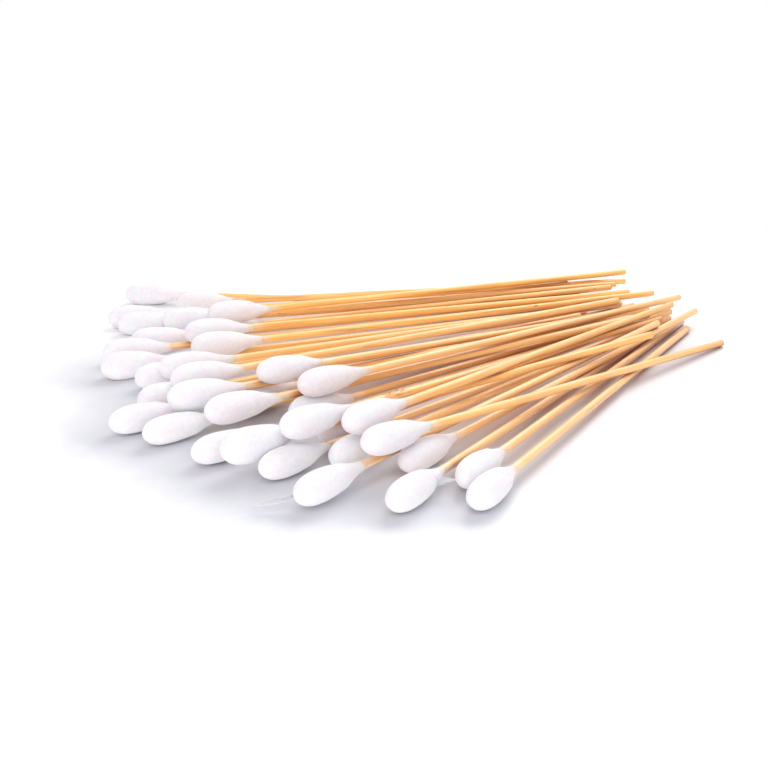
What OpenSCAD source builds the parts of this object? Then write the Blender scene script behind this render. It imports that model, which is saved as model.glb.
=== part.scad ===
// Fanned bundle of long cotton swabs, lying loose as they were put down.
// Each swab is a thin wooden stick with one teardrop of cotton wound on its end.
// The pile is settled here: each swab is laid in turn on the floor and on those below it.

/* [Stick] */
// Overall length of one swab, from the bud's tip to the cut end of the stick
swab_len = 150; // [120:5:180]
// Diameter of the wooden stick
stick_d = 2; // [1.6:0.1:2.4]
// Bevel on the cut end of the stick
end_bevel = 0.15; // [0.05:0.05:0.3]

/* [Cotton bud] */
// Largest diameter of the bud
bud_d = 6.75; // [5:0.25:7.5]
// Length of the bud along the stick
bud_len = 21; // [17:1:25]
// Distance from the bud's tip to its thickest place
bud_belly = 7; // [5:0.5:9]
// Cotton in front of the stick's end, inside the tip of the bud
tip_cover = 2.5; // [2:0.25:4]
// Thickness of the cotton where it ends on the stick
lip = 0.15; // [0.1:0.05:0.3]
// Fullness of the rounded tip, where 2 is an ellipse
tip_power = 2.8; // [2:0.2:4]
// Fullness of the taper, where 1 is a straight cone
taper_power = 1.5; // [1:0.1:2]

/* [Pile] */
// Gap left where a swab rests on another, so that no two pieces overlap
rest_gap = 0.15; // [0.15:0.05:0.3]
// Distance from a swab's tip to its balance point, as a share of its length
balance = 0.4; // [0.35:0.01:0.5]

/* [Hidden] */
$fn = 48;

// Places of the swabs, in the order in which they are laid down.
// Each row is the bud tip's X and Y and the heading of the stick, in millimetres and degrees.
// A fourth value is what the stick was cut short by.
floor_layer = [
    [-35, -47, 20],
    [-17, -47, 21],
    [-22, -56, 22],
    [-21, -33, 14],
    [-2, 137, -41],
    [5, 115, -30],
    [-20, 112, -25],
    [-21, 103, -23],
    [-37, 78, -15],
    [-43, 66, -11],
    [-26, 84, -17],
    [-40, 52, -7],
    [-59, 26, 1],
    [-56, 15, 3],
    [-53, -2, 6],
    [-46, -18, 10],
    [-48, -34, 12]
];
covered_layer = [
    [-47, 36, -2],
    [-5, 83, -19, 12],
    [-30, 21, 1],
    [-23, 6, 5],
    [-25, -9, 8],
    [-31, -22, 11],
    [-36, 46, -9],
    [-40, 32, -4]
];
middle_layer = [
    [-16, 70, -14],
    [-20, 59, -15],
    [-11, 93, -21],
    [-4, 78, -14, 4],
    [-47, 20, -4],
    [-43, 10, -1],
    [-51, -11, -1, 16]
];
top_layer = [
    [-21, 5, 3],
    [-26, 15, 1, 4],
    [-40, -17, 8],
    [-29, -24, 12],
    [-31, -33, 7, 5]
];
plan = concat(floor_layer, covered_layer, middle_layer, top_layer);

stick_r = stick_d / 2;
bud_r = bud_d / 2;
lip_r = stick_r + lip;

// Radius of the bud at a distance s from its tip
function bud_radius(s) =
    s < bud_belly
    ? bud_r * sqrt(max(0, 1 - pow((bud_belly - s) / bud_belly, tip_power)))
    : lip_r + (bud_r - lip_r) * (1 - pow((s - bud_belly) / (bud_len - bud_belly), taper_power));

// Stations along the bud and along the bare stick at which contact is looked for
bud_steps = 10;
bud_stations = [for (k = [0 : bud_steps]) 1.5 + (bud_len - 2) * k / bud_steps];
stick_steps = 12;
function stick_stations(w) = [for (k = [0 : stick_steps]) bud_len + (w[5] - bud_len) * k / stick_steps];
far = -1000;

// A laid swab is [tip x, tip y, tip height, heading, pitch, length]
function along(w, s) = [
    w[0] + s * cos(w[4]) * cos(w[3]),
    w[1] + s * cos(w[4]) * sin(w[3]),
    w[2] + s * sin(w[4])
];
function flat(p) = [p[0], p[1]];

// Height at which a ball of radius r just rests on another ball, both seen from above
function over_ball(p, r, q, rq) =
    let (reach = r + rq + rest_gap, d = norm(flat(p) - flat(q)))
    d < reach ? q[2] + sqrt(reach * reach - d * d) : far;

// Height at which a ball rests on the bare stick of a laid swab
function over_stick(p, r, w) =
    let (
        run = [cos(w[3]), sin(w[3])],
        s = min(w[5], max(bud_len, (flat(p) - [w[0], w[1]]) * run / cos(w[4]))),
        q = along(w, s),
        reach = r + stick_r + rest_gap,
        d = norm(flat(p) - flat(q))
    )
    d < reach ? q[2] + sqrt(reach * reach - d * d) / cos(w[4]) : far;

// Height at which a ball rests on a laid swab
function over_swab(p, r, w) =
    let (
        rel = flat(p) - [w[0], w[1]],
        s = rel * [cos(w[3]), sin(w[3])],
        aside = abs(rel * [-sin(w[3]), cos(w[3])])
    )
    aside > r + bud_r + rest_gap || s < -r || s > w[5] + r ? far :
    max(
        over_stick(p, r, w),
        s > bud_len + r + 1 ? far :
        max([for (t = bud_stations) over_ball(p, r, along(w, t), bud_radius(t))])
    );

// Station and height of the crossing of two bare sticks, the second one laid already
function crossing(a, b) =
    let (turn = sin(b[3] - a[3]))
    abs(turn) < 0.001 ? [0, far] :
    let (
        rel = [b[0] - a[0], b[1] - a[1]],
        s = (rel[0] * sin(b[3]) - rel[1] * cos(b[3])) / turn / cos(a[4]),
        t = (rel[0] * sin(a[3]) - rel[1] * cos(a[3])) / turn / cos(b[4])
    )
    s < bud_len || s > a[5] || t < bud_len || t > b[5] ? [0, far] :
    let (
        da = along([0, 0, 0, a[3], a[4]], 1),
        db = along([0, 0, 0, b[3], b[4]], 1),
        lean = norm(cross(da, db)) / (abs(turn) * cos(a[4]) * cos(b[4]))
    )
    [s, along(b, t)[2] + (stick_d + rest_gap) * lean];

// Station and height where the bare stick of a passes over a ball of a laid swab
function stick_over(a, q, rq) =
    let (
        rel = flat(q) - [a[0], a[1]],
        s = rel * [cos(a[3]), sin(a[3])] / cos(a[4]),
        d = rel * [-sin(a[3]), cos(a[3])],
        reach = stick_r + rq + rest_gap
    )
    s < bud_len || s > a[5] || abs(d) >= reach ? [0, far] : [s, q[2] + sqrt(reach * reach - d * d)];

// Everything that holds a swab up: each entry is a station and the least height of the axis there
function holds(a, laid) =
    let (
        buds = [for (s = bud_stations)
            let (p = along(a, s), r = bud_radius(s))
            [s, max(concat([r * cos(a[4])], [for (w = laid) over_swab(p, r, w)]))]],
        sticks = [for (s = stick_stations(a))
            let (p = along(a, s))
            [s, max(concat([stick_r * cos(a[4])], [for (w = laid) over_swab(p, stick_r, w)]))]],
        crossed = [for (w = laid) crossing(a, w)],
        ends = [for (w = laid) stick_over(a, along(w, w[5]), stick_r)],
        balls = [for (w = laid)
            if (norm([w[0] - a[0], w[1] - a[1]]) < swab_len)
                for (t = bud_stations) stick_over(a, along(w, t), bud_radius(t))]
    )
    [for (h = concat(buds, sticks, crossed, ends, balls)) if (h[1] > far / 2) h];

// The line that a swab comes to rest on: of all pairs of holds on the two sides of the
// balance point, the pair that carries it highest. The answer is [tip height, pitch].
function rest_line(a, laid) =
    let (
        at = balance * a[5],
        all = holds(a, laid),
        front = [for (h = all) if (h[0] < at) h],
        back = [for (h = all) if (h[0] >= at) h],
        lines = [for (f = front) for (b = back)
            let (m = (b[1] - f[1]) / (b[0] - f[0])) [f[1] + m * (at - f[0]), m]],
        top = max([for (l = lines) l[0]]),
        best = [for (l = lines) if (l[0] >= top - 0.000001) l][0]
    )
    [best[0] - best[1] * at, asin(best[1])];

// Lays one swab of the plan: its pitch changes where it touches, so it is settled twice more
function lay(row, laid) =
    let (
        own = swab_len - (len(row) > 3 ? row[3] : 0),
        a = rest_line([row[0], row[1], 0, row[2], 0, own], laid),
        b = rest_line([row[0], row[1], 0, row[2], a[1], own], laid),
        c = rest_line([row[0], row[1], 0, row[2], b[1], own], laid)
    )
    [row[0], row[1], c[0], row[2], b[1], own];
function settle(laid) =
    len(laid) == len(plan) ? laid : settle(concat(laid, [lay(plan[len(laid)], laid)]));

pile = settle([]);

// Outline of the bud from its tip to its neck, as [radius, distance from the tip]
tip_steps = 7;
taper_steps = 6;
bud_outline = concat(
    [for (k = [0 : tip_steps]) let (s = bud_belly * (1 - cos(90 * k / tip_steps))) [bud_radius(s), s]],
    [for (k = [1 : taper_steps]) let (s = bud_belly + (bud_len - bud_belly) * k / taper_steps)
        [bud_radius(s), s]]
);
function stick_outline(length) = [
    [0, tip_cover],
    [stick_r, tip_cover],
    [stick_r, length - end_bevel],
    [stick_r - end_bevel, length],
    [0, length]
];

// How far a laid swab reaches along one axis, with side 1 for its high end and -1 for its low end
function reach_of(w, axis, side) =
    let (u = along([0, 0, 0, w[3], w[4]], 1)[axis], slope = sqrt(1 - u * u))
    max([for (p = concat(bud_outline, stick_outline(w[5]))) side * along(w, p[1])[axis] + p[0] * slope]);
high = [for (axis = [0 : 2]) max([for (w = pile) reach_of(w, axis, 1)])];
low = [for (axis = [0 : 2]) -max([for (w = pile) reach_of(w, axis, -1)])];
// The origin is the middle of the pile's footprint, on the floor
origin = [(low[0] + high[0]) / 2, (low[1] + high[1]) / 2, low[2]];

wood_color = [0.93, 0.76, 0.53];
cotton_color = [0.96, 0.96, 0.95];

// The swabs of the covered layer are grouped, and each of the others has its own two nodes
first_covered = len(floor_layer);
after_covered = first_covered + len(covered_layer);
shown = [for (i = [0 : len(plan) - 1]) if (i < first_covered || i >= after_covered) i];
covered = [for (i = [first_covered : after_covered - 1]) i];
function label(i) = str(i < 9 ? "0" : "", i + 1);

// Puts a swab, drawn with its tip at the origin and its stick along Z, at its place in the pile
module placed(i)
    translate([pile[i][0], pile[i][1], pile[i][2]] - origin)
    rotate([0, 90 - pile[i][4], pile[i][3]])
    children();

// Wooden stick, from inside the bud's tip to the bevelled cut end
module stick(i)
    color(wood_color)
    placed(i)
    rotate_extrude() polygon(stick_outline(pile[i][5]));

// Cotton wound on the stick, with a blind socket that the stick fills
module bud(i)
    color(cotton_color)
    placed(i)
    rotate_extrude() polygon(concat(bud_outline, [[stick_r, bud_len], [stick_r, tip_cover], [0, tip_cover]]));

for (i = shown) {
    stick(i);
    bud(i);
}
for (i = covered) stick(i);  // covered_sticks
for (i = covered) bud(i);  // covered_buds
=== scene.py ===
"""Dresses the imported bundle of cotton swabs.

Each swab gets a wound cotton bud and a grained wooden stick, and the pile gets its floor, light and camera.
"""

import math
import random

import bmesh
import bpy
import numpy as np
from mathutils import Matrix, Vector

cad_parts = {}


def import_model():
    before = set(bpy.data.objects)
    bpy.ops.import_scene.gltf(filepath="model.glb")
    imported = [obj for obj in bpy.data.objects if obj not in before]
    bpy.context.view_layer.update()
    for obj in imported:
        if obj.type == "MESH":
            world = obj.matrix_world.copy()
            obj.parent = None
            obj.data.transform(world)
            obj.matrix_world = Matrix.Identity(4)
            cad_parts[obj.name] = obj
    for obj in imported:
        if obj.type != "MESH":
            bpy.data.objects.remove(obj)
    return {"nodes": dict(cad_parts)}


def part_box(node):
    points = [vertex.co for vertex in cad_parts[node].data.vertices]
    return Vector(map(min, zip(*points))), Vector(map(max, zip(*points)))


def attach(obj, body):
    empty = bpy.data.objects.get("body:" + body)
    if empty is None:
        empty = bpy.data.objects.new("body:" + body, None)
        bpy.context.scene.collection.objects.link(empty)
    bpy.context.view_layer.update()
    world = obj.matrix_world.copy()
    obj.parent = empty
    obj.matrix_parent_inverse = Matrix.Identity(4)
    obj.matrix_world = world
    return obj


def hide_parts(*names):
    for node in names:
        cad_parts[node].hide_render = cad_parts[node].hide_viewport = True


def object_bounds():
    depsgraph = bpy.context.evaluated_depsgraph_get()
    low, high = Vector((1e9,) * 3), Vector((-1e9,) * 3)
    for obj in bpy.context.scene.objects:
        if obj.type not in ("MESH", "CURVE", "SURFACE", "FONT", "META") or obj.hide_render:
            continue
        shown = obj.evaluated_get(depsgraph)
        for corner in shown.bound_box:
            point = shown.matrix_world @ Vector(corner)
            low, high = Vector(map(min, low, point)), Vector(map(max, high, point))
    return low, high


MM = 0.001
SEED = 41
SEED_STEP = 1000
# The second material of a stick is its cut end, and that of a bud is its loose fibres
CUT = 1
LOOSE = 1
# The swab whose solids give the bud's outline for all
MODEL_STICK = "stick_01"
MODEL_BUD = "bud_01"

# Camera of the photograph, placed from the lowest corner of the nearest bud's box
NEAREST_BUD = "bud_01"
CAMERA_ASIDE = -118.8 * MM
CAMERA_BACK = -148.2 * MM
CAMERA_HEIGHT = 92.4 * MM
CAMERA_HEADING = 52.0
CAMERA_DOWN = 18.7
CAMERA_CLIP = 10 * MM
FOCAL_PIXELS = 1100.0
PICTURE_PIXELS = 768.0
SENSOR = 36.0

# Colours with numbers up to 255 are screen levels of red, green and blue, and those with shares up to
# 1 are linear. The screen's curve from levels to shares has a straight foot.
LEVELS = 255
FOOT_END = 0.04045
FOOT_SLOPE = 12.92
CURVE_LIFT = 0.055
CURVE_POWER = 2.4
WHITE = (1, 1, 1, 1)

# Lamps: name, size, power, place from the middle of the pile and colour.
# A place is how far it lies to the right in the photograph, away and up, in metres.
LAMPS = (
    ("key", 0.46, 2.0, (0.18, 0.32, 0.46), (1, 0.985, 0.96)),
    ("fill", 0.80, 2.7, (-0.10, -0.55, 0.28), (1, 1, 1)),
)
SKY_COLOUR = (0.97, 0.96, 1.0, 1)
SKY_STRENGTH = 0.64

# Floor, whose size and white rim are shares of the pile's diagonal
FLOOR_SIZE = 12
WHITE_RIM = (0.48, 0.85)
FLOOR_FINISH = {"Roughness": 0.32, "Specular IOR Level": 0.35}
# Painted shade on the floor near the pile: how far it looks for the pile, and its samples
PAINTED_FLOOR_SHADE_REACH = 21 * MM
PAINTED_FLOOR_SHADE_SAMPLES = 12
# The floor's painted shade lies to the left and front of the pile, so it is looked for to the right, away
# and
# up. The direction is fixed to the floor: it is named as seen in the photograph, and follows no view.
PAINTED_SHADE_LEAN = (1.0, 0.2, 0.8)
FLOOR_WHITE = (254, 254, 255)
# The floor's painted shade by how clear of the pile it is, and its amber painted shade where sticks lie over
# it
PAINTED_FLOOR_SHADE_TONES = (
    (0.05, (156, 153, 160)),
    (0.30, (196, 194, 200)),
    (0.60, (206, 206, 212)),
    (0.85, (208, 209, 215)),
    (0.95, (224, 225, 231)),
    (0.99, (252, 252, 254)),
)
PAINTED_AMBER_SHADE_TONES = (
    (0.05, (252, 174, 98)),
    (0.30, (253, 224, 200)),
    (0.60, (255, 248, 244)),
    (0.95, (255, 255, 255)),
)
# Along X from the middle of the pile: where the buds end and where only sticks lie over the floor, so where
# the painted shade turns from grey to amber
UNDER_STICKS = (-45 * MM, -20 * MM)
# Towards the pile's far side from its middle, again fixed to the floor: where the painted shade beside the
# buds fades out
PAINTED_SHADE_BACK_FADE = (-30 * MM, 20 * MM)

# Noise patterns: their stretch along a swab's own axes, scale, detail and roughness
GRAIN = ((1, 1, 0.02), 2600, 4, 0.6)
STREAKS = ((1, 1, 0.035), 900, 2, 0.5)
PATCHES = ((0.4, 0.4, 1), 60, 2, 0.5)
SPECKS = ((1, 1, 0.35), 700, 1, 0.4)
PORES = ((1, 1, 1), 9000, 2, 0.6)
FIBRES = ((0.25, 0.25, 1), 5200, 4, 0.65)
CLOUDS = ((1, 1, 1), 900, 3, 0.55)
THIN_SPOTS = ((1, 1, 0.1), 2600, 3, 0.6)
# Bumps: strength and height
GRAIN_BUMP = (0.35, 0.06 * MM)
STREAK_BUMP = (0.3, 0.1 * MM)
PORE_BUMP = (0.6, 0.1 * MM)
FIBRE_BUMP = (0.12, 0.05 * MM)
CLOUD_BUMP = (0.25, 0.2 * MM)

# Wood: its grain, and the layers over it. A layer is the span of a value that it covers,
# with its share at either end of the span, and its colour.
GRAIN_TONES = (
    (0.30, (234, 150, 50)),
    (0.50, (254, 192, 86)),
    (0.72, (255, 214, 142)),
)
STREAK_LAYER = ((0.58, 0.72, 0.0, 0.7), (190, 118, 56))
PATCH_LAYER = ((0.40, 0.70, 0.0, 0.4), (244, 168, 82))
PALE_LAYER = ((0.0, 1.0, 0.0, 0.55), (255, 214, 166))
SPECK_LAYER = ((0.765, 0.81, 0.0, 0.6), (120, 70, 36))
HAZE_LAYER = ((0.0, 1.0, 0.0, 0.25), (248, 240, 232))
# Painted shade in the gaps between sticks: how far it looks for other sticks, its samples, the span it
# covers and the deep tint it multiplies in
PAINTED_GAP_SHADE_REACH = 4 * MM
PAINTED_GAP_SHADE_SAMPLES = 5
PAINTED_GAP_SHADE_SPAN = (0.15, 0.95, 1.0, 0.0)
PAINTED_GAP_SHADE_TINT = (0.38, 0.16, 0.04, 1)
WOOD_FINISH = {"Roughness": 0.4, "Specular IOR Level": 0.9}
PORE_TONES = (
    (0.35, (150, 98, 54)),
    (0.50, (206, 150, 92)),
    (0.70, (232, 184, 126)),
)
CUT_FINISH = {"Roughness": 0.85, "Specular IOR Level": 0.2}

# Tone of the wood, partly random and partly painted shade: the sticks at the back of the fan are painted
# deeper in colour than those at the front. The two headings are the Y of the stick's direction where it is
# deepest and where it is palest.
SHADED_HEADING = -0.35
LIT_HEADING = 0.25
TONE_CHANCE = 0.4

# Cotton, and how much of the wood shows through it at the neck
CLOUD_TONES = (
    (0.30, (227, 226, 230)),
    (0.65, (233, 232, 236)),
)
VEIL_SPAN = (0.0, 1.0, 0.0, 0.85)
THIN_SPAN = (0.35, 0.75, 0.4, 1.0)
THIN_COLOUR = (247, 214, 170)
COTTON_FINISH = {
    "Roughness": 0.92,
    "Specular IOR Level": 0.12,
    "Subsurface Weight": 0.7,
    "Subsurface Scale": 3.5 * MM,
    "Sheen Weight": 0.25,
    "Sheen Roughness": 0.6,
}
LOOSE_COLOUR = (250, 249, 252)
LOOSE_GLOW = (252, 251, 254)
LOOSE_CLEAR = 0.35
LOOSE_FINISH = {"Roughness": 0.8, "Specular IOR Level": 0.1}

# Reading the solids: points closer than this are one, and how near an end a point has to lie
WELD = 0.001 * MM
START_DEPTH = 0.1 * MM
CUT_DEPTH = 0.01 * MM
SOCKET_MARGIN = 1.05
TIP_MARGIN = 0.1
STATION_GAP = 0.02 * MM
CORNER_TURN = 0.01
# Each swab's own coordinates are shifted by its number, so that no two have the same pattern
OWN_SHIFT = (0.05, 0.03)

# Stick surface: a slightly oval section with flat facets, which sways along the stick.
# Waves are in radians over the wave length.
STICK_RINGS = 64
STICK_SIDES = 22
STICK_WAVER = 0.03 * MM
STICK_OVAL = 0.03
WAVE_LENGTH = 150 * MM
SWAY_WAVES = (34, 27)
GROOVES = 3
GROOVE_WAVES = 18
FACETS = 5
FACET_DEPTH = 0.035
FACET_SWAY = 1.2
FACET_WAVES = 4
# The cut end: how far its edge is worn and chipped, the share of the radius of its face, and its dish
CUT_WEAR = 0.12 * MM
CUT_CHIP = 0.12 * MM
CUT_FACE = 0.90
CUT_RAGGED = 0.05
CUT_DISH = 0.05 * MM

# Splinters of the sticks
SLIVER_TRIES = 3
SLIVER_CHANCE = 0.6
SLIVER_CLEAR = (5 * MM, 8 * MM)
SLIVER_LENGTH = (1.5 * MM, 5.0 * MM)
SLIVER_LIFT = (0.08 * MM, 0.35 * MM)
SLIVER_WIDTH = 0.16 * MM
SLIVER_DEPTH = 0.05 * MM
SLIVER_ROOT = 0.985
SLIVER_POINT = 0.85
SLIVER_STEPS = 5
SLIVER_HEIGHT = 0.02 * MM
# The one stick that is frayed, and how far from its bud's tip
FRAYED_STICK = "stick_35"
FRAYED_AT = 34 * MM
FRAYED_SLIVERS = 34
FRAYED_REACH = 3.5 * MM
FRAYED_LENGTH = (-3.5 * MM, 4.0 * MM)
FRAYED_LIFT = (0.2 * MM, 1.0 * MM)
FRAYED_TURN = 1.2

# Cotton surface
BUD_SIDES = 72
BUD_STEPS = 5
CORE = 1.02
INSIDE = 0.96
TIP_FADE = 1.5 * MM
# Lumps and windings of a bud, whose depths are shares of its radius.
# Each lump has its waves round the bud, its radians along the whole bud and its weight.
LUMP_DEPTH = 0.045
LUMPS = ((2, 5, 1.0), (3, -7, 0.7), (1, 11, 0.6), (5, 16, 0.35))
WIND_PITCH = 2.9 * MM
WIND_DEPTH = 0.004
WIND_SWAY = 0.8
# Buds that are wound fuller than the rest, and by how much
FULLER = {
    "bud_05": 1.15, "bud_06": 1.12, "bud_07": 1.12, "bud_08": 1.10, "bud_09": 1.14, "bud_10": 1.16,
    "bud_11": 1.12, "bud_12": 1.10, "bud_26": 1.12, "bud_27": 1.16, "bud_28": 1.12, "bud_29": 1.10,
    "bud_30": 1.14, "bud_31": 1.10, "bud_32": 1.20, "bud_33": 1.06, "bud_35": 1.05,
    "covered_buds": 1.08,
}
# The neck, where the cotton thins out to nothing on the stick, slanting and a little ragged
NECK_SHORT = (0.0 * MM, 1.8 * MM)
NECK_SLANT = (0.5 * MM, 2.2 * MM)
NECK_FRAY = 0.7 * MM
NECK_FRAYS = 9
NECK_THIN = 8.0 * MM
NECK_POINT = 0.7
NECK_VEIL = 3.2 * MM
# The share of the bud from which its points are drawn back to the slanting neck
DRAWN_FROM = 0.45
DRAWN_POWER = 1.6

# Loose fibres of a bud. Places are shares of its length, and slants and curls are in radians.
STRAND_SIDES = 3
STRAND_TAPER = 0.7
STRAND_STEPS = 5
SHORTEST = 1e-9
FUZZ_COUNT = 80
FUZZ_RADIUS = 0.012 * MM
FUZZ_THICKNESS = (0.7, 1.3)
FUZZ_LENGTH = (1.2 * MM, 3.4 * MM)
FUZZ_LIFT = (0.08 * MM, 0.32 * MM)
FUZZ_CLEAR = 0.01 * MM
FUZZ_PLACE = (0.04, 0.97)
FUZZ_START = 0.3 * MM
FUZZ_END = 0.99
FUZZ_SLANT = 0.9
FUZZ_CURL = 0.8
# The least radius that a bud counts as having, where a fibre lifts off it and where one runs round it
FUZZ_LEAST_LIFTED = 0.6 * MM
FUZZ_LEAST_TURNED = 0.8 * MM
# Fibres that run off the neck
NECK_STRANDS = 14
NECK_STRAND_TURN = 0.5
NECK_STRAND_ROOT = (0.5 * MM, 3.0 * MM)
NECK_STRAND_SPILL = (0.6 * MM, 3.2 * MM)
NECK_STRAND_LIFT = (0.01 * MM, 0.16 * MM)
NECK_STRAND_CLEAR = 0.012 * MM
NECK_STRAND_THICKNESS = (0.8, 1.6)

# Loose wisps of cotton that trail from two of the front buds: node, distance along the bud,
# and how far the wisp runs to the right in the photograph, away and up
WISPS = (
    ("bud_17", 0.8 * MM, (-8.0 * MM, -0.5 * MM, -1.8 * MM)),
    ("bud_01", 14.0 * MM, (4.8 * MM, -0.8 * MM, 0.7 * MM)),
)
WISP_STRANDS = 44
WISP_TURN = 0.35
WISP_ROOT = 0.9 * MM
WISP_SUNK = 0.97
WISP_DRAW = 0.85
WISP_SHARE = (0.45, 1.0)
WISP_SPREAD = 0.22 * MM
WISP_BOW = (-0.45 * MM, 0.05 * MM)
WISP_RADIUS = (0.03 * MM, 0.08 * MM)


def heading_vector():
    """The way the photograph's camera looks, level with the floor."""
    heading = math.radians(CAMERA_HEADING)
    return Vector((math.cos(heading), math.sin(heading), 0))


def seen_vector(right, away, up):
    """A fixed direction, named as the photograph shows it: to the right, away and up."""
    ahead = heading_vector()
    return Vector((ahead.y, -ahead.x, 0)) * right + ahead * away + Vector((0, 0, up))


def linear(red, green, blue):
    """A screen colour as the linear colour that a shader takes."""
    def one(level):
        value = level / LEVELS
        if value <= FOOT_END:
            return value / FOOT_SLOPE
        return ((value + CURVE_LIFT) / (1 + CURVE_LIFT)) ** CURVE_POWER
    return (one(red), one(green), one(blue), 1.0)


def swell(angle):
    """A wave that goes from 0 to 1 and back."""
    return 0.5 - 0.5 * math.cos(angle)


class Tree:
    """The node tree of a material or a world, with short ways to add nodes and links."""

    # Sockets of a colour mix node: amount, first colour and second colour, and its result
    MIX_INPUTS = (0, 6, 7)
    MIX_RESULT = 2

    def __init__(self, owner):
        self.owner = owner
        owner.use_nodes = True
        self.nodes = owner.node_tree.nodes
        self.links = owner.node_tree.links
        self.nodes.clear()

    def add(self, kind, **settings):
        node = self.nodes.new("ShaderNode" + kind)
        for key, value in settings.items():
            setattr(node, key, value)
        return node

    def feed(self, value, socket):
        """Gives a socket a plain value, or links it to another socket."""
        if isinstance(value, bpy.types.NodeSocket):
            self.links.new(value, socket)
        else:
            socket.default_value = value

    def attribute(self, name, output):
        return self.add("Attribute", attribute_name=name).outputs[output]

    def local(self):
        """Each swab's own coordinates: across, across, and along from the bud's tip."""
        return self.attribute("local", "Vector")

    def tone(self):
        """One number for each swab, partly random and partly painted shade by its heading: 0 where its wood
        is deepest in colour, 1 where it is palest.
        """
        return self.attribute("tone", "Fac")

    def veil(self):
        """How thin the cotton is here: 1 where it ends on the stick, 0 away from there."""
        return self.attribute("veil", "Fac")

    def open_sky(self, distance, samples, towards=None):
        """How clear a point is of other surfaces: 0 deep in a gap, 1 in the open."""
        node = self.add("AmbientOcclusion", samples=samples)
        node.inputs["Distance"].default_value = distance
        if towards is not None:
            vector = self.add("CombineXYZ")
            for socket, value in zip(vector.inputs, towards):
                socket.default_value = value
            self.feed(vector.outputs["Vector"], node.inputs["Normal"])
        return node.outputs["AO"]

    def pattern(self, vector, kind):
        """Noise of one of the kinds listed above."""
        stretch, scale, detail, rough = kind
        mapping = self.add("Mapping")
        mapping.inputs["Scale"].default_value = stretch
        self.feed(vector, mapping.inputs["Vector"])
        node = self.add("TexNoise")
        node.inputs["Scale"].default_value = scale
        node.inputs["Detail"].default_value = detail
        node.inputs["Roughness"].default_value = rough
        self.feed(mapping.outputs["Vector"], node.inputs["Vector"])
        return node.outputs["Fac"]

    def ramp(self, value, stops):
        node = self.add("ValToRGB")
        elements = node.color_ramp.elements
        while len(elements) < len(stops):
            elements.new(0.5)
        for element, (place, colour) in zip(elements, stops):
            element.position = place
            element.color = linear(*colour)
        self.feed(value, node.inputs["Fac"])
        return node.outputs["Color"]

    def spread(self, value, low, high, to_low, to_high):
        """The value from low to high as a value from to_low to to_high, and no further."""
        node = self.add("MapRange")
        node.inputs["From Min"].default_value = low
        node.inputs["From Max"].default_value = high
        node.inputs["To Min"].default_value = to_low
        node.inputs["To Max"].default_value = to_high
        self.feed(value, node.inputs["Value"])
        return node.outputs["Result"]

    def mix(self, amount, first, second, blend="MIX"):
        node = self.add("Mix", data_type="RGBA", blend_type=blend)
        for number, value in zip(self.MIX_INPUTS, (amount, first, second)):
            self.feed(value, node.inputs[number])
        return node.outputs[self.MIX_RESULT]

    def layer(self, colour, value, span, tint):
        """A layer of a tint over a colour, by where a value lies in a span."""
        return self.mix(self.spread(value, *span), colour, linear(*tint))

    def combine(self, operation, first, second):
        node = self.add("Math", operation=operation)
        self.feed(first, node.inputs[0])
        self.feed(second, node.inputs[1])
        return node.outputs["Value"]

    def vector_math(self, operation, *vectors):
        node = self.add("VectorMath", operation=operation)
        for vector, socket in zip(vectors, node.inputs):
            self.feed(vector, socket)
        return node.outputs["Value"]

    def bump(self, height, size, onto=None):
        strength, distance = size
        node = self.add("Bump")
        node.inputs["Strength"].default_value = strength
        node.inputs["Distance"].default_value = distance
        self.feed(height, node.inputs["Height"])
        if onto is not None:
            self.feed(onto, node.inputs["Normal"])
        return node.outputs["Normal"]

    def shader(self, kind, values):
        """A shader with the given values and links on its inputs."""
        node = self.add(kind)
        for key, value in values.items():
            self.feed(value, node.inputs[key])
        return node.outputs[0]

    def blend(self, amount, first, second):
        """Two shaders mixed."""
        node = self.add("MixShader")
        for socket, value in zip(node.inputs, (amount, first, second)):
            self.feed(value, socket)
        return node.outputs["Shader"]

    def finish(self, shader, output="OutputMaterial"):
        self.feed(shader, self.add(output).inputs["Surface"])
        return self.owner


def wood_material():
    """Pale wood with fine long grain, darker streaks, a tone for each stick that is partly its own and
    partly painted shade on the back sticks, and painted shade in the gaps between sticks.
    """
    t = Tree(bpy.data.materials.new("pale_wood"))
    local = t.local()
    grain = t.pattern(local, GRAIN)
    streaks = t.pattern(local, STREAKS)
    colour = t.ramp(grain, GRAIN_TONES)
    colour = t.layer(colour, streaks, *STREAK_LAYER)
    colour = t.layer(colour, t.pattern(local, PATCHES), *PATCH_LAYER)
    colour = t.layer(colour, t.tone(), *PALE_LAYER)
    # Painted shade: the wood is made deeper in colour in the gaps between sticks, where the light that
    # reaches it comes off other sticks
    painted_gap_shade = t.spread(t.open_sky(PAINTED_GAP_SHADE_REACH, PAINTED_GAP_SHADE_SAMPLES), *PAINTED_GAP_SHADE_SPAN)
    colour = t.mix(painted_gap_shade, colour, PAINTED_GAP_SHADE_TINT, "MULTIPLY")
    colour = t.layer(colour, t.pattern(local, SPECKS), *SPECK_LAYER)
    colour = t.layer(colour, t.veil(), *HAZE_LAYER)
    normal = t.bump(grain, GRAIN_BUMP, t.bump(streaks, STREAK_BUMP))
    return t.finish(t.shader("BsdfPrincipled", {**WOOD_FINISH, "Base Color": colour, "Normal": normal}))


def cut_end_material():
    """The sawn end of a stick: darker wood with the open pores of the grain."""
    t = Tree(bpy.data.materials.new("cut_end"))
    pores = t.pattern(t.local(), PORES)
    colour = t.ramp(pores, PORE_TONES)
    normal = t.bump(pores, PORE_BUMP)
    return t.finish(t.shader("BsdfPrincipled", {**CUT_FINISH, "Base Color": colour, "Normal": normal}))


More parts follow.
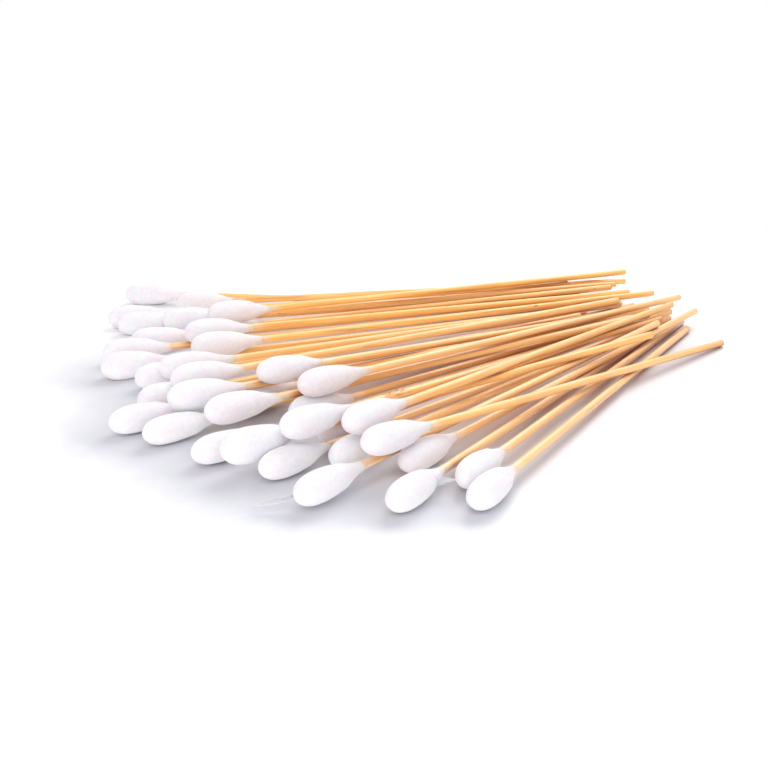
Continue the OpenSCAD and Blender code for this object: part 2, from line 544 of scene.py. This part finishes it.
def cotton_material():
    """Wound cotton: soft, matt and nearly white, with fine fibres running round the stick."""
    t = Tree(bpy.data.materials.new("wound_cotton"))
    local = t.local()
    fibres = t.pattern(local, FIBRES)
    clouds = t.pattern(local, CLOUDS)
    spots = t.spread(t.pattern(local, THIN_SPOTS), *THIN_SPAN)
    thin = t.combine("MULTIPLY", t.spread(t.veil(), *VEIL_SPAN), spots)
    colour = t.mix(thin, t.ramp(clouds, CLOUD_TONES), linear(*THIN_COLOUR))
    normal = t.bump(fibres, FIBRE_BUMP, t.bump(clouds, CLOUD_BUMP))
    return t.finish(t.shader("BsdfPrincipled", {**COTTON_FINISH, "Base Color": colour, "Normal": normal}))


def loose_fibre_material():
    """Single fibres of the cotton: white and thin enough to let light through."""
    t = Tree(bpy.data.materials.new("loose_fibre"))
    outside = t.shader("BsdfPrincipled", {**LOOSE_FINISH, "Base Color": linear(*LOOSE_COLOUR)})
    through = t.shader("BsdfTranslucent", {"Color": linear(*LOOSE_GLOW)})
    return t.finish(t.blend(LOOSE_CLEAR, outside, through))


def floor_material(reach):
    """White floor with a soft painted shade beside the pile added to its cast shadow, and an amber painted
    shade under the sticks; it turns pure white away from the pile.
    """
    t = Tree(bpy.data.materials.new("white_floor"))
    clear = t.open_sky(PAINTED_FLOOR_SHADE_REACH, PAINTED_FLOOR_SHADE_SAMPLES, seen_vector(*PAINTED_SHADE_LEAN).normalized())
    place = t.add("TexCoord").outputs["Object"]
    axes = t.add("SeparateXYZ")
    t.feed(place, axes.inputs["Vector"])
    along = axes.outputs["X"]
    # Under the sticks the painted shade is amber, like light that comes off the wood
    painted_amber_share = t.spread(along, *UNDER_STICKS, 0.0, 1.0)
    colour = t.mix(painted_amber_share, t.ramp(clear, PAINTED_FLOOR_SHADE_TONES), t.ramp(clear, PAINTED_AMBER_SHADE_TONES), "MULTIPLY")
    # Behind the buds the painted shade fades out
    behind = t.spread(t.vector_math("DOT_PRODUCT", place, heading_vector()), *PAINTED_SHADE_BACK_FADE, 0.0, 1.0)
    beside = t.spread(along, *UNDER_STICKS, 1.0, 0.0)
    colour = t.mix(t.combine("MULTIPLY", behind, beside), colour, linear(*FLOOR_WHITE))
    # The painted shade is only for the camera: the light that comes off the floor is that of a white one
    seen = t.add("LightPath").outputs["Is Camera Ray"]
    colour = t.mix(seen, linear(*FLOOR_WHITE), colour)
    rim = [reach * share for share in WHITE_RIM]
    far = t.spread(t.vector_math("LENGTH", place), *rim, 0.0, 1.0)
    floor = t.shader("BsdfPrincipled", {**FLOOR_FINISH, "Base Color": colour})
    white = t.shader("Emission", {"Color": WHITE})
    return t.finish(t.blend(t.combine("MULTIPLY", far, seen), floor, white))


def solids(node):
    """The vertices of each separate solid of a CAD node, as arrays of points."""
    mesh = bmesh.new()
    mesh.from_mesh(node.data)
    bmesh.ops.remove_doubles(mesh, verts=mesh.verts, dist=WELD)
    waiting, found = set(mesh.verts), []
    while waiting:
        stack, island = [waiting.pop()], []
        while stack:
            vertex = stack.pop()
            island.append(vertex.co[:])
            for edge in vertex.link_edges:
                other = edge.other_vert(vertex)
                if other in waiting:
                    waiting.remove(other)
                    stack.append(other)
        found.append(np.array(island))
    mesh.free()
    return sorted(found, key=lambda points: tuple(points.mean(0)))


def rod(points):
    """The two ends of a stick's axis and its radius. The cut end is the one further along X."""
    middle = points.mean(0)
    axis = np.linalg.svd(points - middle, full_matrices=False)[2][0]
    axis *= np.sign(axis[0])
    along = (points - middle) @ axis
    start = points[along < along.min() + START_DEPTH].mean(0)
    end = points[along > along.max() - CUT_DEPTH].mean(0)
    axis = (end - start) / np.linalg.norm(end - start)
    across = points - start - np.outer((points - start) @ axis, axis)
    return Vector(start), Vector(end), float(np.linalg.norm(across, axis=1).max())


class Swab:
    """A swab's own frame: its origin is the bud's tip and its Z runs along the stick."""

    def __init__(self, stick_points, cover, number):
        start, end, self.radius = rod(stick_points)
        axis = (end - start).normalized()
        self.cover = cover
        self.length = (end - start).length + cover
        turn = axis.to_track_quat("Z", "Y").to_matrix().to_4x4()
        self.matrix = Matrix.Translation(start - axis * cover) @ turn
        self.inward = self.matrix.inverted()
        self.random = random.Random(SEED * SEED_STEP + number)
        # Painted shade: the share of the tone that goes by heading makes the sticks at the back deeper in
        # colour
        fan = (axis.y - SHADED_HEADING) / (LIT_HEADING - SHADED_HEADING)
        self.tone = TONE_CHANCE * self.random.random() + (1 - TONE_CHANCE) * min(1.0, max(0.0, fan))
        self.shift = Vector((OWN_SHIFT[0] * number, OWN_SHIFT[1] * number, 0))

    def above_floor(self, place, height):
        """The same place, or the nearest one straight above it that is clear of the floor."""
        world = self.matrix @ place
        world.z = max(world.z, height)
        return self.inward @ world


def tip_cover(bud_points, stick_points):
    """How much cotton lies in front of the stick's end."""
    start, end, _ = rod(stick_points)
    axis = np.array((end - start).normalized())
    return float(-((bud_points - np.array(start)) @ axis).min())


def bud_outline(bud_points, stick_points, cover):
    """The bud's outline as pairs of distance from the tip and radius, read from a CAD bud."""
    start, end, radius = rod(stick_points)
    axis = np.array((end - start).normalized())
    rel = bud_points - np.array(start)
    along = rel @ axis
    across = np.linalg.norm(rel - np.outer(along, axis), axis=1)
    surface = (across > radius * SOCKET_MARGIN) | (along < -cover * TIP_MARGIN)
    pairs = []
    for s, r in sorted(zip(along[surface] + cover, across[surface])):
        if not pairs or s - pairs[-1][0] > STATION_GAP:
            pairs.append((float(s), float(r)))
    corners = [pairs[0]]
    for before, here, after in zip(pairs, pairs[1:], pairs[2:]):
        come = math.atan2(here[1] - before[1], here[0] - before[0])
        go = math.atan2(after[1] - here[1], after[0] - here[0])
        if abs(go - come) > CORNER_TURN:
            corners.append(here)
    return corners + [pairs[-1]]


def smooth(points, steps):
    """More points on a smooth curve through the given ones, which starts square to the axis."""
    line = [(points[1][0], -points[1][1])] + list(points) + [points[-1]]
    made = []
    for a, b, c, d in zip(line, line[1:], line[2:], line[3:]):
        for k in range(steps):
            t = k / steps
            made.append(tuple(
                0.5 * (2 * q + (r - p) * t + (2 * p - 5 * q + 4 * r - s) * t * t
                       + (3 * q - p - 3 * r + s) * t ** 3)
                for p, q, r, s in zip(a, b, c, d)
            ))
    return made + [points[-1]]


class Mesh:
    """Collects points, faces and each point's place in its swab's own frame."""

    def __init__(self):
        self.points, self.local, self.tone, self.veil, self.faces, self.slots = [], [], [], [], [], []

    def ring(self, swab, places, veil=0.0):
        first = len(self.points)
        for place in places:
            self.points.append(swab.matrix @ Vector(place))
            self.local.append(Vector(place) + swab.shift)
            self.tone.append(swab.tone)
            self.veil.append(veil)
        return list(range(first, first + len(places)))

    def point(self, swab, distance):
        """A point on the swab's axis."""
        return self.ring(swab, [(0, 0, distance)])[0]

    def band(self, low, high, slot=0):
        count = len(low)
        for k in range(count):
            j = (k + 1) % count
            self.faces.append((low[k], low[j], high[j], high[k]))
            self.slots.append(slot)

    def fan(self, ring, centre, slot=0):
        count = len(ring)
        for k in range(count):
            self.faces.append((ring[k], ring[(k + 1) % count], centre))
            self.slots.append(slot)

    def build(self, name, materials):
        data = bpy.data.meshes.new(name)
        data.from_pydata([p[:] for p in self.points], [], self.faces)
        local = data.attributes.new("local", "FLOAT_VECTOR", "POINT")
        local.data.foreach_set("vector", [x for p in self.local for x in p])
        for key, values in (("tone", self.tone), ("veil", self.veil)):
            data.attributes.new(key, "FLOAT", "POINT").data.foreach_set("value", values)
        for material in materials:
            data.materials.append(material)
        data.polygons.foreach_set("material_index", self.slots)
        data.polygons.foreach_set("use_smooth", [True] * len(self.faces))
        data.update()
        piece = bpy.data.objects.new(name, data)
        bpy.context.scene.collection.objects.link(piece)
        return piece


def add_stick(mesh, swab, neck):
    """A stick with a slightly oval, wavering section and a chipped cut end."""
    rnd = swab.random
    oval, turn = STICK_OVAL * rnd.random(), rnd.uniform(0, math.tau)
    *sway_phases, groove_phase, facet_phase = [rnd.uniform(0, math.tau) for _ in range(4)]

    def section(s, sway):
        run = s / WAVE_LENGTH
        x, y = (0.5 * sway * math.sin(w * run + p) for w, p in zip(SWAY_WAVES, sway_phases))
        places = []
        for j in range(STICK_SIDES):
            a = math.tau * j / STICK_SIDES
            groove = 0.5 + 0.5 * math.sin(GROOVES * a + GROOVE_WAVES * run + groove_phase)
            flat = swell(FACETS * a + FACET_SWAY * math.sin(FACET_WAVES * run + facet_phase))
            r = swab.radius * (1 - oval * swell(2 * (a - turn)) - FACET_DEPTH * flat) - 0.5 * sway * groove
            places.append((x + r * math.cos(a), y + r * math.sin(a), s))
        return places

    previous = None
    for k in range(STICK_RINGS):
        s = swab.cover + (swab.length - swab.cover) * k / STICK_RINGS
        ring = mesh.ring(swab, section(s, STICK_WAVER), 1.0 if s < neck else 0.0)
        if previous is None:
            mesh.fan(ring[::-1], mesh.point(swab, s))
        else:
            mesh.band(previous, ring)
        previous = ring
    add_cut_end(mesh, swab, previous, section(swab.length, 0.0))


def add_cut_end(mesh, swab, side, places):
    """The sawn end of a stick: a worn, chipped edge and a slightly dished face."""
    rnd = swab.random
    edge = mesh.ring(swab, [(x, y, z - CUT_WEAR - CUT_CHIP * rnd.random()) for x, y, z in places])
    mesh.band(side, edge)
    face = mesh.ring(swab, [
        (x * (CUT_FACE - CUT_RAGGED * rnd.random()), y * (CUT_FACE - CUT_RAGGED * rnd.random()), z)
        for x, y, z in places
    ])
    mesh.band(edge, face, CUT)
    mesh.fan(face, mesh.point(swab, swab.length - CUT_DISH), CUT)


class Cotton:
    """The surface of one wound bud, with its own lumps and windings."""

    def __init__(self, swab, outline, fuller):
        rnd = swab.random
        self.stations, self.radii = np.array(outline).T
        self.fuller = fuller
        self.reach = outline[-1][0]
        self.core = swab.radius * CORE
        self.short, self.slant = rnd.uniform(*NECK_SHORT), rnd.uniform(*NECK_SLANT)
        self.turn = rnd.uniform(0, math.tau)
        self.phases = [rnd.uniform(0, math.tau) for _ in range(len(LUMPS) + 2)]
        self.hand = rnd.choice((-1, 1))
        self.fray = [rnd.uniform(-1, 0) for _ in range(NECK_FRAYS)]

    def radius(self, s):
        """The outline's radius at a distance from the tip."""
        return float(np.interp(s, self.stations, self.radii))

    def dent(self, s, a):
        """How far the surface lies inside the outline, as a share of the radius."""
        *phases, wound_phase, sway_phase = self.phases
        x = s / self.reach
        lumps = sum(h * math.sin(n * a + m * x + p) for (n, m, h), p in zip(LUMPS, phases))
        lumps /= sum(h for _, _, h in LUMPS)
        sway = WIND_SWAY * math.sin(2 * a + sway_phase)
        wound = math.sin(self.hand * a + math.tau * s / WIND_PITCH + wound_phase + sway)
        return LUMP_DEPTH * (0.5 - 0.5 * lumps) + WIND_DEPTH * (0.5 - 0.5 * wound)

    def point(self, s, r, a):
        """The surface's point at a distance from the tip and an angle, where the outline's radius is r."""
        r *= 1 - self.dent(s, a) * min(1.0, s / TIP_FADE)
        r *= 1 + (self.fuller - 1) * math.sqrt(max(0.0, 1 - s / self.reach))
        left = min(1.0, max(0.0, (self.reach - s) / NECK_THIN))
        r = self.core + (r - self.core) * left ** NECK_POINT
        return (r * math.cos(a), r * math.sin(a), s)

    def edge(self, a):
        """How far short of the neck the cotton stops at this angle."""
        place = (a % math.tau) / math.tau * len(self.fray)
        low = int(place) % len(self.fray)
        high = (low + 1) % len(self.fray)
        t = place - int(place)
        ragged = NECK_FRAY * (self.fray[low] * (1 - t) + self.fray[high] * t)
        return ragged - self.short - self.slant * swell(a - self.turn)


def add_bud(mesh, swab, outline, fuller):
    """The skin of a bud, from its tip to the ragged edge on the stick."""
    cotton = Cotton(swab, outline, fuller)
    angles = [math.tau * j / BUD_SIDES for j in range(BUD_SIDES)]
    tip = mesh.point(swab, outline[0][0])
    previous = None
    for s, r in outline[1:]:
        drawn = max(0.0, (s / cotton.reach - DRAWN_FROM) / (1 - DRAWN_FROM)) ** DRAWN_POWER
        places = []
        for a in angles:
            x, y, z = cotton.point(s, r, a)
            places.append(swab.above_floor(Vector((x, y, z + cotton.edge(a) * drawn)), 0))
        ring = mesh.ring(swab, places, max(0.0, 1 - (cotton.reach - s) / NECK_VEIL))
        if previous is None:
            mesh.fan(ring[::-1], tip)
        else:
            mesh.band(previous, ring)
        previous = ring
    inner = swab.radius * INSIDE
    inside = [(inner * math.cos(a), inner * math.sin(a), cotton.reach + cotton.edge(a)) for a in angles]
    mesh.band(previous, mesh.ring(swab, inside, 1.0))
    return cotton


def add_fuzz(mesh, swab, cotton):
    """Loose fibres that lie round the bud and lift a little off it."""
    rnd = swab.random
    for _ in range(FUZZ_COUNT):
        s = rnd.uniform(*FUZZ_PLACE) * cotton.reach
        a = rnd.uniform(0, math.tau)
        slant = rnd.uniform(-FUZZ_SLANT, FUZZ_SLANT)
        length, lift = rnd.uniform(*FUZZ_LENGTH), rnd.uniform(*FUZZ_LIFT)
        curl = rnd.uniform(-FUZZ_CURL, FUZZ_CURL)
        thick = FUZZ_RADIUS * rnd.uniform(*FUZZ_THICKNESS)
        path = []
        for k in range(STRAND_STEPS + 1):
            t = k / STRAND_STEPS
            station = min(max(s, FUZZ_START), cotton.reach * FUZZ_END)
            r = cotton.radius(station)
            x, y, z = cotton.point(station, r, a)
            out = 1 + (lift * t * t + FUZZ_CLEAR) / max(r, FUZZ_LEAST_LIFTED)
            path.append(Vector((x * out, y * out, z)))
            bearing = slant + curl * t
            s += math.sin(bearing) * length / STRAND_STEPS
            a += math.cos(bearing) * length / STRAND_STEPS / max(r, FUZZ_LEAST_TURNED) * cotton.hand
        add_strand(mesh, swab, path, thick)


def add_neck_strands(mesh, swab, cotton):
    """Fibres that run off the neck and lie along the bare stick."""
    rnd = swab.random
    for _ in range(NECK_STRANDS):
        a, turn = rnd.uniform(0, math.tau), rnd.uniform(-NECK_STRAND_TURN, NECK_STRAND_TURN)
        edge = cotton.reach + cotton.edge(a)
        start = edge - rnd.uniform(*NECK_STRAND_ROOT)
        end = edge + rnd.uniform(*NECK_STRAND_SPILL)
        lift = rnd.uniform(*NECK_STRAND_LIFT)
        path = []
        for k in range(STRAND_STEPS + 1):
            t = k / STRAND_STEPS
            s = start + (end - start) * t
            x, y, _ = cotton.point(min(s, cotton.reach), cotton.radius(s), a)
            r = max(cotton.core, math.hypot(x, y)) + NECK_STRAND_CLEAR + lift * t * t
            path.append(Vector((r * math.cos(a + turn * t), r * math.sin(a + turn * t), s)))
        add_strand(mesh, swab, path, FUZZ_RADIUS * rnd.uniform(*NECK_STRAND_THICKNESS))


def add_strand(mesh, swab, path, thick):
    """A fibre along the path, thinning to its end and kept clear of the floor."""
    previous = None
    last = len(path) - 1
    angles = [math.tau * j / STRAND_SIDES for j in range(STRAND_SIDES)]
    for k, place in enumerate(path):
        ahead = path[min(k + 1, last)] - path[max(k - 1, 0)]
        side = ahead.cross(Vector((0, 0, 1)))
        if side.length < SHORTEST:
            side = Vector((1, 0, 0))
        side.normalize()
        up = ahead.cross(side).normalized()
        thin = thick * (1 - STRAND_TAPER * k / last)
        place = swab.above_floor(place, thick)
        ring = mesh.ring(swab, [place + side * thin * math.cos(a) + up * thin * math.sin(a) for a in angles])
        if previous is not None:
            mesh.band(previous, ring, LOOSE)
        previous = ring


def add_wisp(mesh, swab, cotton, station, run):
    """A thin tuft that trails from the bud and draws to a point."""
    rnd = swab.random
    inward = swab.inward.to_3x3()
    reach = inward @ seen_vector(*run)
    angle = math.atan2(reach.y, reach.x)
    r = cotton.radius(station)
    middle = Vector(cotton.point(station, r, angle))
    for _ in range(WISP_STRANDS):
        a = angle + rnd.uniform(-WISP_TURN, WISP_TURN)
        root = Vector(cotton.point(station + rnd.uniform(-1, 1) * WISP_ROOT, r * WISP_SUNK, a))
        drift = Vector([rnd.uniform(-1, 1) * WISP_SPREAD for _ in range(3)])
        bow = drift + inward @ Vector((0, 0, rnd.uniform(*WISP_BOW)))
        end = root.lerp(middle, WISP_DRAW) + reach * rnd.uniform(*WISP_SHARE)
        path = []
        for k in range(STRAND_STEPS + 1):
            t = k / STRAND_STEPS
            path.append(root.lerp(end, t) + bow * math.sin(math.pi * t))
        add_strand(mesh, swab, path, rnd.uniform(*WISP_RADIUS))


def add_slivers(mesh, swab, neck):
    """Thin splinters that lift off the stick's surface here and there."""
    rnd = swab.random
    count = sum(rnd.random() < SLIVER_CHANCE for _ in range(SLIVER_TRIES))
    for _ in range(count):
        s = rnd.uniform(neck + SLIVER_CLEAR[0], swab.length - SLIVER_CLEAR[1])
        a, hand = rnd.uniform(0, math.tau), rnd.choice((-1, 1))
        add_sliver(mesh, swab, s, a, hand * rnd.uniform(*SLIVER_LENGTH), rnd.uniform(*SLIVER_LIFT))


def add_frayed_patch(mesh, swab):
    """A place on the upper side of a stick where the wood has frayed into fine splinters."""
    rnd = swab.random
    up = swab.inward.to_3x3() @ Vector((0, 0, 1))
    top = math.atan2(up.y, up.x)
    for _ in range(FRAYED_SLIVERS):
        s = FRAYED_AT + rnd.uniform(-1, 1) * FRAYED_REACH
        a = top + rnd.uniform(-FRAYED_TURN, FRAYED_TURN)
        add_sliver(mesh, swab, s, a, rnd.uniform(*FRAYED_LENGTH), rnd.uniform(*FRAYED_LIFT))


def add_sliver(mesh, swab, s, a, run, lift):
    """One splinter, rooted in the stick and lifting to a narrow free end."""
    rows = []
    for k in range(SLIVER_STEPS + 1):
        t = k / SLIVER_STEPS
        half = SLIVER_WIDTH * 0.5 * (1 - SLIVER_POINT * t) / swab.radius
        r = swab.radius * SLIVER_ROOT + lift * t * t
        places = []
        for turn, drop in ((-half, 0.0), (half, 0.0), (0.0, SLIVER_DEPTH)):
            place = Vector(((r - drop) * math.cos(a + turn), (r - drop) * math.sin(a + turn), s + run * t))
            places.append(swab.above_floor(place, SLIVER_HEIGHT))
        rows.append(mesh.ring(swab, places))
    for low, high in zip(rows, rows[1:]):
        mesh.band(low, high)


def dress(frame):
    """Puts a detailed stick and bud in the place of each CAD one."""
    nodes = frame["nodes"]
    woods = [wood_material(), cut_end_material()]
    cottons = [cotton_material(), loose_fibre_material()]
    bud_points, stick_points = solids(nodes[MODEL_BUD])[0], solids(nodes[MODEL_STICK])[0]
    cover = tip_cover(bud_points, stick_points)
    outline = smooth(bud_outline(bud_points, stick_points, cover), BUD_STEPS)
    neck = outline[-1][0]
    number = 0
    for name in sorted(n for n in nodes if "stick" in n):
        bud_name = name.replace("sticks", "buds").replace("stick", "bud")
        stick_mesh, bud_mesh = Mesh(), Mesh()
        for points in solids(nodes[name]):
            number += 1
            swab = Swab(points, cover, number)
            add_stick(stick_mesh, swab, neck)
            add_slivers(stick_mesh, swab, neck)
            if name == FRAYED_STICK:
                add_frayed_patch(stick_mesh, swab)
            cotton = add_bud(bud_mesh, swab, outline, FULLER.get(bud_name, 1.0))
            add_fuzz(bud_mesh, swab, cotton)
            add_neck_strands(bud_mesh, swab, cotton)
            for owner, station, run in WISPS:
                if owner == bud_name:
                    add_wisp(bud_mesh, swab, cotton, station, run)
        stick = stick_mesh.build("wooden_" + name, woods)
        bud = bud_mesh.build("cotton_" + bud_name, cottons)
        for piece, node, slot in ((stick, name, "wood"), (bud, bud_name, "cotton")):
            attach(piece, "root")
            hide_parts(node)


def add_floor(low, high):
    reach = (high - low).length
    centre = (low + high) / 2
    bpy.ops.mesh.primitive_plane_add(size=reach * FLOOR_SIZE, location=(centre.x, centre.y, low.z))
    floor = bpy.context.object
    floor.name = "floor"
    floor.data.materials.append(floor_material(reach))


def add_light(low, high):
    """A lamp above and behind the pile, a low one beside the camera, and an even pale sky."""
    centre = (low + high) / 2
    for name, size, power, place, colour in LAMPS:
        data = bpy.data.lights.new(name, "AREA")
        data.shape = "DISK"
        data.size = size
        data.energy = power
        data.color = colour
        lamp = bpy.data.objects.new(name, data)
        lamp.location = centre + seen_vector(*place)
        lamp.rotation_euler = (centre - lamp.location).to_track_quat("-Z", "Y").to_euler()
        bpy.context.scene.collection.objects.link(lamp)
    t = Tree(bpy.data.worlds.new("sky"))
    bpy.context.scene.world = t.owner
    rays = t.add("LightPath").outputs
    # The camera, and what mirrors or lets light through, see pure white in place of the sky
    white_for = t.combine("MAXIMUM", rays["Is Camera Ray"], rays["Is Glossy Ray"])
    white_for = t.combine("MAXIMUM", white_for, rays["Is Transmission Ray"])
    sky = t.shader("Background", {"Color": SKY_COLOUR, "Strength": SKY_STRENGTH})
    white = t.shader("Background", {"Color": WHITE, "Strength": 1.0})
    t.finish(t.blend(white_for, sky, white), "OutputWorld")


def add_camera():
    """The photograph's camera, at its height over the floor and looking down at the pile."""
    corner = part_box(NEAREST_BUD)[0]
    data = bpy.data.cameras.new("camera")
    data.sensor_width = SENSOR
    data.lens = FOCAL_PIXELS * SENSOR / PICTURE_PIXELS
    data.clip_start = CAMERA_CLIP
    camera = bpy.data.objects.new("camera", data)
    camera.location = (corner.x + CAMERA_ASIDE, corner.y + CAMERA_BACK, CAMERA_HEIGHT)
    down = math.radians(CAMERA_DOWN)
    look = heading_vector() * math.cos(down) - Vector((0, 0, math.sin(down)))
    camera.rotation_euler = look.to_track_quat("-Z", "Y").to_euler()
    bpy.context.scene.collection.objects.link(camera)
    bpy.context.scene.camera = camera


def main():
    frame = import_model()
    cad_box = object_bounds()
    bpy.context.scene.view_settings.view_transform = "Standard"
    add_camera()
    dress(frame)
    add_floor(*cad_box)
    add_light(*cad_box)


main()
